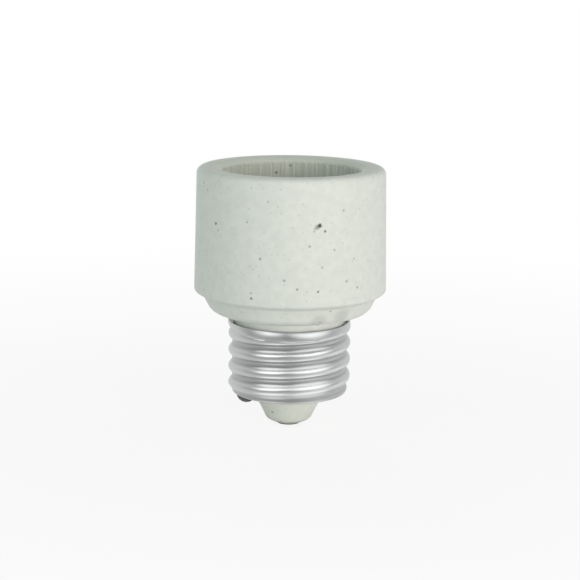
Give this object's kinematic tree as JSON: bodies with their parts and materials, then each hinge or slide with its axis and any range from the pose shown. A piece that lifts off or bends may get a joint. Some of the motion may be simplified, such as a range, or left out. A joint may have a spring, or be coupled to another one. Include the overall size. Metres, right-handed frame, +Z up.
{
  "type": "porcelain lamp socket extender",
  "caption": "Porcelain screw-in lamp socket: a plain cup with a threaded shell inside for a medium lamp, and a threaded metal base below with a tip contact.",
  "frame": {"origin": "lowest point of the tip contact, on the axis", "axes": "+Z up the axis from the tip contact to the mouth; -Y is the side that faces the viewer; -X is the side of the rivet"},
  "size_m": [0.041, 0.041, 0.056],
  "materials": {
    "porcelain": "unglazed to satin, with fine dark specks",
    "aluminium_sheet": "satin rolled sheet",
    "spring_brass": "satin",
    "plated_rivet": "dull tin plating"
  },
  "bodies": {
    "socket": {"porcelain_body": "porcelain", "base_shell": "aluminium_sheet", "socket_shell": "aluminium_sheet", "centre_rivet": "plated_rivet", "side_rivet": "plated_rivet"},
    "contact_tongue": {"centre_contact": "spring_brass"}
  },
  "joints": [
    {"name": "contact_press", "type": "hinge", "parent": "socket", "child": "contact_tongue", "pos_m": [0, 0.0052, 0.03105], "axis": [1, 0, 0], "range_deg": [0, 9], "stiffness_Nm_per_rad": 0.16, "deforming": ["centre_contact"]}
  ]
}
